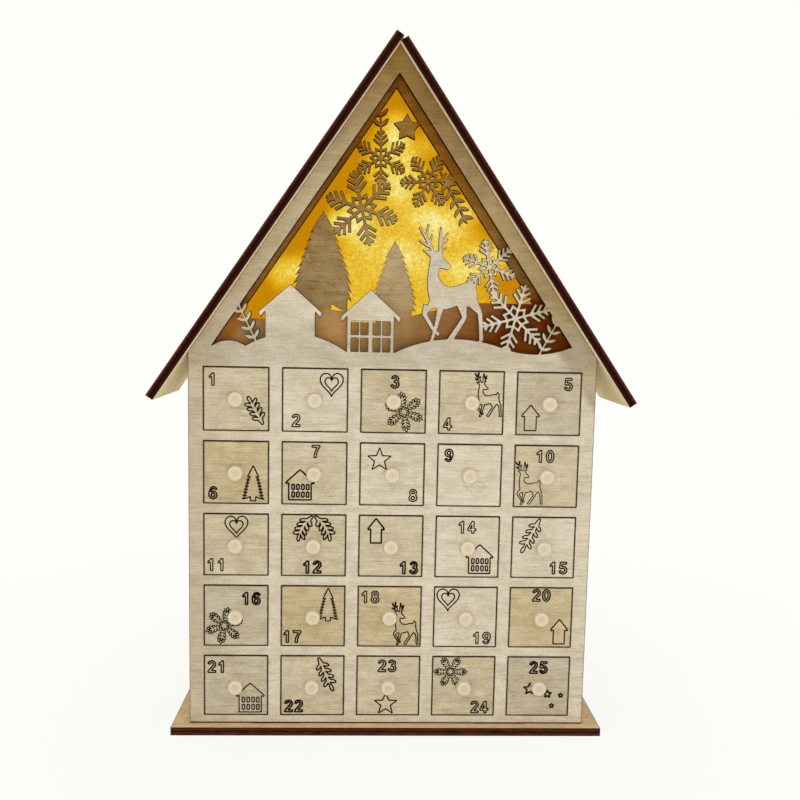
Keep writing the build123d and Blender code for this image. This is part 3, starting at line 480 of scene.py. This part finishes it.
# Cells and contacts: two plain cells lie in the case, between sprung leaves and plates of plated steel.
# The cells wear a shrunk sleeve with a bare metal rim at both ends. The nickel on the contacts is a warm,
# bright grey, and duller in small worn patches.
cell_low, cell_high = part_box("battery_cells")
plain_sleeve, tree, shader = new_finish("shrunk PVC sleeve over steel")
place = add_node(tree, "ShaderNodeTexCoord", {})["Object"]
spot = add_node(tree, "ShaderNodeSeparateXYZ", {0: place})["X"]
off_middle = apart(tree, spot, (cell_low.x + cell_high.x) / 2)
bare_from = (cell_high.x - cell_low.x) / 2 - 2.2 * MM
bare = add_node(tree, "ShaderNodeMath", {0: off_middle, 1: bare_from}, operation="GREATER_THAN")[0]
scuff = add_node(tree, "ShaderNodeTexNoise", {"Vector": place, "Scale": 1 / (4 * MM), "Detail": 4.0})["Fac"]
skin = add_node(
    tree, "ShaderNodeMix", {0: scuff, 6: linear("#2F4A5E"), 7: linear("#426075")}, data_type="RGBA"
)[2]
colour = add_node(tree, "ShaderNodeMix", {0: bare, 6: skin, 7: linear("#C4C3BF")}, data_type="RGBA")[2]
tree.links.new(colour, shader.inputs["Base Color"])
tree.links.new(bare, shader.inputs["Metallic"])
shader.inputs["Roughness"].default_value = 0.32
nodes["battery_cells"].material_slots[0].material = plain_sleeve

nickel, tree, shader = new_finish("nickel-plated spring steel")
place = add_node(tree, "ShaderNodeTexCoord", {})["Object"]
worn = add_node(
    tree, "ShaderNodeTexNoise", {"Vector": place, "Scale": 1 / (0.8 * MM), "Detail": 3.0}
)["Fac"]
gloss = add_node(tree, "ShaderNodeMapRange", {"Value": worn, "To Min": 0.2, "To Max": 0.45})["Result"]
tree.links.new(gloss, shader.inputs["Roughness"])
shader.inputs["Base Color"].default_value = linear("#C8C4BA")
shader.inputs["Metallic"].default_value = 1.0
nodes["battery_contacts"].material_slots[0].material = nickel

# Drawers: 25 small boxes glued up from thin ply, each with a square front that fills its opening.
# Each front is cut from another place of the sheet, so its grain and tone differ a little.
draw = random.Random(25)
face_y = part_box("front_panel")[0].y
front_deep, rim_high = 3.1 * MM, 33.0 * MM
# Days whose fronts are paler, browner or greyer than the others in the photograph
pale_days, tan_days, grey_days = (2, 8, 9, 14, 15, 19), (6, 17, 18, 20), (5, 16, 21, 25)


def front_middle(day):
    """The middle of the front of a day's drawer."""
    low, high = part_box(f"drawer_{day:02d}")
    return (low.x + high.x) / 2, face_y, (low.z + high.z) / 2


for day in range(1, 26):
    node = f"drawer_{day:02d}"
    drawer_face = ("#D3C7AC", "#B2A07E", "#95815C")
    if day in pale_days:
        drawer_face = ("#DED5C2", "#C0B297", "#A08E6C")
    elif day in tan_days:
        drawer_face = ("#D0BF9E", "#AE9971", "#937D55")
    elif day in grey_days:
        drawer_face = ("#CBC0A9", "#AC9C7E", "#8F7D5B")
    nodes[node].material_slots[0].material = plywood(
        f"laser-cut birch ply, drawer {day}", drawer_face, thin_plies, thin_board,
        SIDE, DEPTH, 10.0 + 3.7 * day,
        tone=draw.uniform(-0.06, 0.06), edge_to=face_y + front_deep,
        rim_z=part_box(node)[0].z + rim_high, clean_at=front_middle(day),
    )

# Burnt marks: the number of each day and a small picture, drawn by the same beam at low power.
# The lines are char, dull and almost black, with browner places. A real line lies in the wood; these stand
# out by less than a tenth of a millimetre, so that they show.
def heart(width, height):
    """The outline of a heart, round its middle."""
    points = []
    for step in range(30):
        turn = math.tau * step / 30
        lobes = 13 * math.cos(turn) - 5 * math.cos(2 * turn) - 2 * math.cos(3 * turn) - math.cos(4 * turn)
        points.append((width * math.sin(turn) ** 3 / 2, height * (lobes + 2.5) / 29))
    return points


def star(reach):
    """A five-pointed star with one point up."""
    points = []
    for step in range(10):
        turn = math.radians(90 + 36 * step)
        arm = reach * (0.42 if step % 2 else 1.0)
        points.append((arm * math.cos(turn), arm * math.sin(turn)))
    return points


def narrow_house(width, height):
    """A gabled house seen from its end, with short eaves."""
    roof = (height / 2, 0.08 * height, 0.03 * height, 0.07 * height, -height / 2)
    half = (0, width / 2, 0.46 * width, 0.33 * width, 0.33 * width)
    right = list(zip(half, roof))
    return right + [(-x, z) for x, z in reversed(right[1:])]


def wide_house(height):
    """A house with wide eaves, and under it the outlines of its eight panes."""
    scale = height / 18.3
    right = [(0, 9.15), (8.5, 1.35), (7.9, 0.6), (6.7, 1.3), (6.7, -9.15)]
    walls = right + [(-x, z) for x, z in reversed(right[1:])]
    lines = [walls]
    for left in (-4.8, -1.95, 1.0, 3.85):
        for foot in (-7.5, -2.9):
            far, top = left + 1.5, foot + 3.1
            lines.append([(left, foot), (far, foot), (far, top), (left, top)])
    return [[(x * scale, z * scale) for x, z in line] for line in lines]


def fir(width, height):
    """A fir with a smooth tip, saw-toothed sides and a short trunk."""
    right = [(0, 0.5), (0.19, 0.26)]
    teeth = 8
    for tooth in range(1, teeth + 1):
        low = 0.26 - 0.71 * tooth / teeth
        half = 0.2 + 0.3 * (tooth / teeth) ** 0.8
        right += [(half, low), (half - 0.14 - 0.006 * tooth, low + 0.02)]
    right += [(0.12, -0.38), (0.12, -0.5)]
    points = [(width * x, height * z) for x, z in right]
    return points + [(-x, z) for x, z in reversed(points[1:])]


def twig(length, half, shoots, leaf_half):
    """The contour of a straight twig from its foot at the origin up to its tip, with a shoot on each side
    at every (height, angle, length) of shoots."""
    leaf_edge = ((0.25, 0.7), (0.6, 1.0), (0.9, 0.6), (1.0, 0.0), (0.9, -0.6), (0.6, -1.0), (0.3, -0.8))
    side = [(half, 0.0)]
    for start, angle, reach in shoots:
        lean = (math.sin(math.radians(angle)), math.cos(math.radians(angle)))
        for share, swell in leaf_edge:
            across = lean[0] * reach * share + lean[1] * leaf_half * swell
            up = start + lean[1] * reach * share - lean[0] * leaf_half * swell
            side.append((across, up))
    side += [
        (half, length - 4.4 * leaf_half), (leaf_half, length - 2.4 * leaf_half),
        (0.75 * leaf_half, length - 0.7 * leaf_half),
    ]
    return side + [(0, length)] + [(-x, z) for x, z in reversed(side)]


def turned(points, angle, shift=(0.0, 0.0)):
    """The points turned about the origin by an angle from upright, and then moved."""
    cosine, sine = math.cos(math.radians(angle)), math.sin(math.radians(angle))
    return [(x * cosine - z * sine + shift[0], x * sine + z * cosine + shift[1]) for x, z in points]


def sprig(foot, tip, bow=0.0):
    """A sprig with four pairs of leaves and an end leaf between two places, bowed sideways in its middle."""
    length = math.dist(foot, tip)
    shoots = [(length * share, 54, 5.0) for share in (0.17, 0.34, 0.51, 0.67)]
    angle = math.degrees(math.atan2(foot[0] - tip[0], tip[1] - foot[1]))
    points = [
        (x + 4 * bow * z * (length - z) / length**2, z) for x, z in twig(length, 0.55, shoots, 1.05)
    ]
    return turned(points, angle, foot)


def snowflake(reach, turn):
    """Six fern leaves round one middle, with a star inside."""
    shoots = [
        (reach * start, angle, reach * length)
        for start, angle, length in ((0.3, 58, 0.17), (0.44, 56, 0.23), (0.58, 53, 0.27), (0.73, 46, 0.23))
    ]
    leaf = twig(reach, 0.5, shoots, 0.7)
    leaves = [turned(leaf[1:-1], turn + 60 * step) for step in range(6)]
    inner = [
        turned([(0.0, reach * (0.27 if step % 2 else 0.12))], turn + 30 * step)[0] for step in range(12)
    ]
    return [sum(reversed(leaves), []), inner]


# A deer like the one in the window, in the same millimetres: back, tail, legs, breast, antlers and neck
deer_line = (
    (28.5, 41.2), (33.4, 40.2), (39.7, 42.0), (45.4, 42.3), (46.8, 46.4), (49.3, 43.4), (48.9, 37.4),
    (50.2, 31.0), (52.3, 25.2), (52.6, 17.5), (53.2, 8.0), (50.4, 8.0), (50.0, 17.5), (49.0, 24.6),
    (46.0, 27.6), (43.0, 22.6), (34.6, 7.5), (31.4, 8.8), (40.0, 22.4), (37.0, 28.6), (29.8, 26.3),
    (28.2, 26.6), (25.8, 16.3), (22.9, 6.8), (20.7, 7.2), (23.4, 16.8), (24.8, 26.6), (21.4, 26.2),
    (18.9, 23.6), (24.2, 14.7), (27.3, 12.4), (26.0, 10.4), (22.4, 13.1), (15.7, 24.0), (17.0, 27.5),
    (20.2, 31.7), (18.9, 38.0), (18.6, 45.2), (20.2, 57.2), (15.3, 61.4), (20.6, 60.8), (18.8, 63.2),
    (13.2, 66.2), (13.6, 67.3), (18.3, 65.2), (17.2, 67.2), (12.9, 74.2), (13.9, 75.0), (16.9, 69.8),
    (17.9, 76.5), (19.2, 76.3), (18.3, 69.0), (19.3, 67.4), (20.5, 70.6), (21.5, 70.2), (20.3, 65.8),
    (22.8, 61.0), (25.0, 61.0), (24.8, 66.0), (25.6, 75.0), (26.8, 74.9), (26.8, 68.2), (30.0, 72.0),
    (30.8, 71.3), (27.0, 66.2), (30.1, 68.6), (30.8, 67.6), (27.0, 63.8), (29.2, 63.6), (29.6, 62.4),
    (26.8, 60.9), (28.2, 57.1), (33.0, 51.9), (30.4, 49.8), (26.1, 50.9), (25.2, 46.0),
)


def deer(width, height):
    """A walking deer with its head up, round the middle of its box."""
    xs, zs = zip(*deer_line)
    wide, tall = max(xs) - min(xs), max(zs) - min(zs)
    return [
        ((x - min(xs) - wide / 2) * width / wide, (z - min(zs) - tall / 2) * height / tall)
        for x, z in deer_line
    ]


def eased(line, cut):
    """The line with each corner cut short, as the beam rounds it."""
    points = []
    for before, (x, z), after in zip(line[-1:] + line[:-1], line, line[1:] + line[:1]):
        for other in (before, after):
            share = min(0.4, cut / math.dist((x, z), other))
            points.append((x + share * (other[0] - x), z + share * (other[1] - z)))
    return points


def moved(lines, x, z):
    """The lines of a picture round another place."""
    return [turned(line, 0, (x, z)) for line in lines]


def arc(x, z, wide, tall, start, end):
    """Points on a part of an ellipse, every 20 degrees or so."""
    steps = max(2, round(abs(end - start) / 20))
    turns = [math.radians(start + (end - start) * step / steps) for step in range(steps + 1)]
    return [(x + wide * math.cos(turn), z + tall * math.sin(turn)) for turn in turns]


six = (
    [(2.4, 2.0)] + arc(0.2, 1.6, 2.3, 2.15, 35, 120) + arc(0, -0.6, 2.45, 3.2, 140, 200)
    + arc(0.05, -1.45, 2.4, 2.35, 200, 420) + [(0.4, 0.95), (-0.6, 0.65), (-1.1, 0.1), (-1.0, 1.5)]
    + arc(0.25, 1.75, 0.95, 0.9, 150, 15)
)
number_lines = {
    "0": [arc(0, 0, 2.4, 3.8, 0, 340), arc(0, 0, 1.05, 2.55, 0, 340)],
    "1": [
        [
            (1.0, 3.75), (1.0, -3.75), (-0.4, -3.75), (-0.4, 1.6),
            (-1.9, 0.8), (-1.9, 2.05), (-0.75, 2.8), (-0.15, 3.75),
        ]
    ],
    "2": [
        arc(0, 1.5, 2.4, 2.3, 175, -35)
        + [(-0.35, -2.5), (2.4, -2.5), (2.4, -3.75), (-2.5, -3.75), (-2.1, -2.6)]
        + arc(0, 1.55, 1.05, 1.05, -40, 170)
    ],
    "3": [
        arc(0, 1.75, 2.15, 2.05, 170, -35) + arc(0, -1.5, 2.45, 2.3, 45, -172)
        + arc(0, -1.45, 1.1, 1.15, -165, 75) + [(-0.5, -0.3), (-0.4, 0.75)]
        + arc(0, 1.75, 0.85, 0.9, -55, 165)
    ],
    "4": [
        [
            (1.2, 3.75), (1.2, -0.9), (2.4, -0.9), (2.4, -2.15), (1.2, -2.15), (1.2, -3.75), (-0.15, -3.75),
            (-0.15, -2.15), (-2.6, -2.15), (-2.6, -0.9), (-0.1, 3.75),
        ],
        [(-0.15, 1.5), (-0.15, -0.9), (-1.4, -0.9)],
    ],
    "5": [
        [(2.1, 3.75), (2.1, 2.5), (-0.75, 2.5), (-0.95, 1.0)] + arc(0, -1.35, 2.45, 2.45, 95, -168)
        + arc(-0.05, -1.35, 1.15, 1.25, -160, 135) + [(-2.2, -0.3), (-1.75, 3.75)]
    ],
    "6": [six, arc(0.05, -1.45, 1.05, 1.15, 0, 340)],
    "7": [
        [
            (-2.4, 3.75), (2.4, 3.75), (2.4, 2.75), (1.2, 0.9), (0.5, -1.2), (0.2, -3.75), (-1.2, -3.75),
            (-0.9, -1.4), (-0.1, 0.8), (0.9, 2.5), (-2.4, 2.5),
        ]
    ],
    "8": [
        arc(0, 1.85, 2.1, 1.95, -42, 222) + arc(0, -1.6, 2.45, 2.2, 140, 400),
        arc(0, 1.9, 0.85, 0.8, 0, 340),
        arc(0, -1.6, 1.1, 1.05, 0, 340),
    ],
    "9": [[(-x, -z) for x, z in six], arc(-0.05, 1.45, 1.05, 1.15, 0, 340)],
}
number_step = 6.2

# Marks are drawn in millimetres round the middle of a front: the place of the number, and the picture
both_hearts = [heart(13.9, 14.1), [(0.58 * x, 0.58 * z + 0.3) for x, z in heart(13.9, 14.1)]]
day_marks = {
    1: ((-14.0, 11.6), [sprig((16.0, -15.0), (6.8, 1.7))]),
    2: ((-11.3, -12.4), moved(both_hearts, 9.8, 9.3)),
    3: ((0.7, 11.8), moved(snowflake(12.3, 9), 6.4, -6.2)),
    4: ((-13.8, -13.1), moved([deer(16.6, 26.9)], 10.0, 4.9)),
    5: ((11.6, 12.1), moved([narrow_house(10.9, 15.5)], -10.8, -8.6)),
    6: ((-13.9, -12.6), moved([fir(13.3, 21.6)], 10.2, -6.5)),
    7: ((0.8, 13.4), moved(wide_house(18.5), -8.6, -7.1)),
    8: ((13.0, -12.8), moved([star(7.5)], -7.8, 8.9)),
    9: ((-12.7, 12.2), []),
    10: ((-1.0, 12.4), moved([deer(17.0, 27.0)], -10.2, -4.2)),
    11: ((-12.0, -12.6), moved(both_hearts, 0.2, 10.6)),
    12: ((-0.9, -13.6), [sprig((-0.9, 18.0), (-9.6, 2.4), 1.8), sprig((0.7, 18.0), (10.2, 2.6), -1.8)]),
    13: ((11.2, -13.5), moved([narrow_house(10.0, 15.3)], -9.1, 9.5)),
    14: ((-0.4, 12.3), moved(wide_house(18.1), 7.8, -7.6)),
    15: ((9.8, -12.8), [sprig((-2.6, 18.0), (-13.6, -3.5))]),
    16: ((9.1, 10.8), moved(snowflake(11.8, -12), -7.2, -6.5)),
    17: ((-12.8, -13.2), moved([fir(12.5, 20.8)], 9.2, 7.3)),
    18: ((-12.1, 12.3), moved([deer(16.7, 27.3)], 9.8, -4.5)),
    19: ((10.6, -13.4), moved(both_hearts, -10.9, 10.8)),
    20: ((0.1, 14.2), moved([narrow_house(10.7, 15.8)], 12.0, -9.0)),
    21: ((-11.8, 11.8), moved(wide_house(18.7), 8.7, -8.0)),
    22: ((-11.5, -13.4), [sprig((3.7, 17.7), (12.9, -3.6))]),
    23: ((-0.8, 12.8), moved([star(7.4)], -1.3, -11.9)),
    24: ((10.6, -13.7), moved(snowflake(10.4, 30), -8.2, 9.2)),
    25: (
        (0.0, 12.2),
        moved([star(4.0)], -5.1, -1.8) + moved([star(2.7)], 6.2, -5.1)
        + moved([star(1.6)], 14.6, -5.9) + moved([star(1.6)], 9.1, -12.7),
    ),
}

char_line, tree, shader = new_finish("charred birch line")
place = add_node(tree, "ShaderNodeTexCoord", {})["Object"]
soot = add_node(tree, "ShaderNodeTexNoise", {"Vector": place, "Scale": 1 / (2.2 * MM), "Detail": 3.0})["Fac"]
soot = add_node(tree, "ShaderNodeMapRange", {"Value": soot, "From Min": 0.35, "From Max": 0.75})["Result"]
colour = add_node(
    tree, "ShaderNodeMix", {0: soot, 6: linear("#0C0402"), 7: linear("#2C1810")}, data_type="RGBA"
)[2]
tree.links.new(colour, shader.inputs["Base Color"])
shader.inputs["Roughness"].default_value = 0.9
shader.inputs["Specular IOR Level"].default_value = 0.1

# How far a line stands out, which days have wider lines, and how much finer or wider a picture's are
line_rise = 0.06
heavy_days, bold_days = (12, 13, 16, 22, 25), (3, 6, 9, 15, 17, 20, 21, 23, 24)
picture_weight = {
    3: 0.62, 4: 0.85, 6: 0.95, 7: 1.3, 10: 0.75, 12: 0.8, 14: 1.15,
    15: 0.85, 16: 0.6, 17: 0.9, 18: 0.92, 21: 0.9, 22: 0.85, 24: 0.62,
}
for day, ((number_x, number_z), picture) in day_marks.items():
    lines = [(line, picture_weight.get(day, 1.0)) for line in picture]
    for place, digit in enumerate(str(day)):
        shift = number_x + number_step * (place - (len(str(day)) - 1) / 2)
        lines += [(line, 1.0) for line in moved(number_lines[digit], shift, number_z)]
    line_half = 0.58 if day in heavy_days else 0.49 if day in bold_days else 0.43
    drawn = bpy.data.curves.new("burnt line", "CURVE")
    drawn.dimensions = "3D"
    drawn.bevel_depth = line_half * MM
    drawn.bevel_resolution = 0
    for line, weight in lines:
        line = eased(line, 0.3 * weight)
        spline = drawn.splines.new("POLY")
        spline.points.add(len(line) - 1)
        spline.use_cyclic_u = True
        for point, (x, z) in zip(spline.points, line):
            point.co = (x * MM, 0, z * MM, 1)
            point.radius = weight
    mark = bpy.data.objects.new("burnt line", drawn)
    bpy.context.collection.objects.link(mark)
    bpy.ops.object.select_all(action="DESELECT")
    mark.select_set(True)
    bpy.context.view_layer.objects.active = mark
    bpy.ops.object.convert(target="MESH")
    mark.scale = (1, line_rise / line_half, 1)
    mark.location = front_middle(day)
    bpy.ops.object.transform_apply()
    mark.name = mark.data.name = f"mark_{day:02d}"
    mark.data.materials.clear()
    mark.data.materials.append(char_line)
    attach(mark, f"drawer_{day:02d}")

# Knobs: small turned wooden buttons, glued to the middle of each drawer front.
# The lathe left a rounded rim and a shallow dish in the face, sanded smooth and paler than the fronts.
knob_radius, knob_length, rim_round = 4.5 * MM, 5.1 * MM, 1.5 * MM
bpy.ops.object.select_all(action="DESELECT")
bpy.ops.mesh.primitive_cylinder_add(
    vertices=40, radius=knob_radius, depth=knob_length,
    location=(0, -knob_length / 2, 0), rotation=(math.pi / 2, 0, 0),
)
button = bpy.context.object
bpy.ops.object.transform_apply()


def pick_front(piece):
    """Selects nothing of a piece but its widest face that looks to the front."""
    bpy.ops.object.mode_set(mode="EDIT")
    bpy.ops.mesh.select_mode(type="FACE")
    bpy.ops.mesh.select_all(action="DESELECT")
    bpy.ops.object.mode_set(mode="OBJECT")
    front = [face for face in piece.data.polygons if face.normal.y < -0.99]
    max(front, key=lambda face: face.area).select = True
    bpy.ops.object.mode_set(mode="EDIT")


pick_front(button)
bpy.ops.mesh.bevel(offset=rim_round, segments=6)
pick_front(button)
for step_in, step_down in ((0.5 * MM, 0.08 * MM), (0.6 * MM, 0.2 * MM), (0.7 * MM, 0.12 * MM)):
    bpy.ops.mesh.inset(thickness=step_in, depth=-step_down)
bpy.ops.mesh.poke()
bpy.ops.object.mode_set(mode="OBJECT")
bpy.ops.object.shade_smooth_by_angle(angle=math.radians(50))
rings = button.data.attributes.new("lathe_ring", "FLOAT", "POINT")
for ring, vertex in zip(rings.data, button.data.vertices):
    ring.value = math.hypot(vertex.co.x, vertex.co.z)

turned_birch, tree, shader = new_finish("turned birch")
place = add_node(tree, "ShaderNodeTexCoord", {})["Object"]
sizes = [1 / (4.0 * MM), 1 / (4.0 * MM), 1 / (0.6 * MM)]
spread = add_node(tree, "ShaderNodeVectorMath", {0: place, 1: sizes}, operation="MULTIPLY")["Vector"]
fibre = add_node(tree, "ShaderNodeTexNoise", {"Vector": spread, "Scale": 1.0, "Detail": 2.0})["Fac"]
ring = add_node(tree, "ShaderNodeAttribute", {}, attribute_name="lathe_ring")["Fac"]
# A lathe tool leaves rings of about 0.2 mm, which are drawn at 0.8 mm
tooled = add_node(
    tree, "ShaderNodeTexNoise", {"W": ring, "Scale": 1 / (0.8 * MM), "Detail": 1.0}, noise_dimensions="1D"
)["Fac"]
# Painted highlight and shade: the face is paler towards its rim and darker in the middle of the dish
rim = add_node(
    tree, "ShaderNodeMapRange", {"Value": ring, "From Min": 1.0 * MM, "From Max": 3.2 * MM}
)["Result"]
grain_and_rim_highlight = add_node(tree, "ShaderNodeMath", {0: fibre, 1: tooled}, operation="ADD")[0]
grain_and_rim_highlight = add_node(tree, "ShaderNodeMath", {0: rim, 1: 0.7, 2: grain_and_rim_highlight}, operation="MULTIPLY_ADD")[0]
grain_and_rim_highlight = add_node(tree, "ShaderNodeMapRange", {"Value": grain_and_rim_highlight, "From Min": 0.6, "From Max": 2.1})["Result"]
colour = add_node(
    tree, "ShaderNodeMix", {0: grain_and_rim_highlight, 6: linear("#C1B190"), 7: linear("#E4D6BC")}, data_type="RGBA"
)[2]
tree.links.new(colour, shader.inputs["Base Color"])
shader.inputs["Roughness"].default_value = 0.55
shader.inputs["Specular IOR Level"].default_value = 0.25
button.data.materials.append(turned_birch)

for day in range(1, 26):
    bpy.ops.object.select_all(action="DESELECT")
    button.select_set(True)
    bpy.context.view_layer.objects.active = button
    bpy.ops.object.duplicate()
    knob = bpy.context.object
    knob.location = front_middle(day)
    bpy.ops.object.transform_apply()
    knob.name = knob.data.name = f"knob_{day:02d}"
    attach(knob, f"drawer_{day:02d}")
bpy.data.objects.remove(button)

# Studio: a pale floor, a wide soft lamp above, a small one in front and a white surround.
# The far floor and the surround are white to the camera, and the near floor keeps the shadow.
def looked_at(tree):
    """1 for what the camera sees, also in metal or glass, and 0 for the light that falls on the object."""
    ray = add_node(tree, "ShaderNodeLightPath", {})
    seen = ray["Is Camera Ray"]
    for way in ("Is Glossy Ray", "Is Transmission Ray"):
        seen = add_node(tree, "ShaderNodeMath", {0: seen, 1: ray[way]}, operation="MAXIMUM")[0]
    return seen


bpy.ops.mesh.primitive_plane_add(size=8.0)
floor = bpy.context.object
floor.name = "floor"
paper, tree, shader = new_finish("white paper floor")
shader.inputs["Base Color"].default_value = linear("#F6F6F2")
shader.inputs["Roughness"].default_value = 0.9
seen = looked_at(tree)
place = add_node(tree, "ShaderNodeTexCoord", {})["Object"]
away = add_node(tree, "ShaderNodeVectorMath", {0: place}, operation="LENGTH")["Value"]
away = add_node(
    tree, "ShaderNodeMapRange",
    {"Value": away, "From Min": 0.16, "From Max": 0.45, "To Min": 0.86, "To Max": 1.0},
)["Result"]
away = add_node(tree, "ShaderNodeMath", {0: away, 1: seen}, operation="MULTIPLY")[0]
white = add_node(tree, "ShaderNodeEmission", {"Color": linear("#FFFFFB"), "Strength": 1.0})[0]
both = add_node(tree, "ShaderNodeMixShader", {0: away, 1: shader.outputs[0], 2: white})[0]
tree.links.new(both, tree.nodes["Material Output"].inputs["Surface"])
floor.data.materials.append(paper)

bpy.context.scene.world = bpy.data.worlds.new("studio")
bpy.context.scene.world.use_nodes = True
tree = bpy.context.scene.world.node_tree
seen = looked_at(tree)
level = add_node(tree, "ShaderNodeMapRange", {"Value": seen, "To Min": 0.74, "To Max": 1.0})["Result"]
sky = tree.nodes["Background"]
sky.inputs["Color"].default_value = linear("#FFFFFB")
tree.links.new(level, sky.inputs["Strength"])

for name, stand, aim, size, power in (
    ("key softbox", (-0.35, -0.9, 1.4), (0, 0, 0.22), 0.9, 3.2),
    ("front softbox", (0.04, -0.53, 0.17), (0.02, 0, 0.16), 0.24, 0.6),
):
    bpy.ops.object.light_add(type="AREA", location=stand)
    lamp = bpy.context.object
    lamp.name = name
    lamp.rotation_euler = (Vector(aim) - Vector(stand)).to_track_quat("-Z", "Y").to_euler()
    lamp.data.size = size
    lamp.data.energy = power

# Camera: before the house, a little above and left of its middle and tilted down, as in the photograph.
# The lens takes in the whole height of the house in a square frame.
bpy.ops.object.camera_add(
    location=(-0.01369, -0.50998, 0.25668),
    rotation=[math.radians(turn) for turn in (84.3026, -1.1599, -1.9690)],
)
camera = bpy.context.object
camera.data.sensor_width = 36.0
camera.data.lens = 36.35
bpy.context.scene.camera = camera
bpy.context.scene.view_settings.view_transform = "Standard"
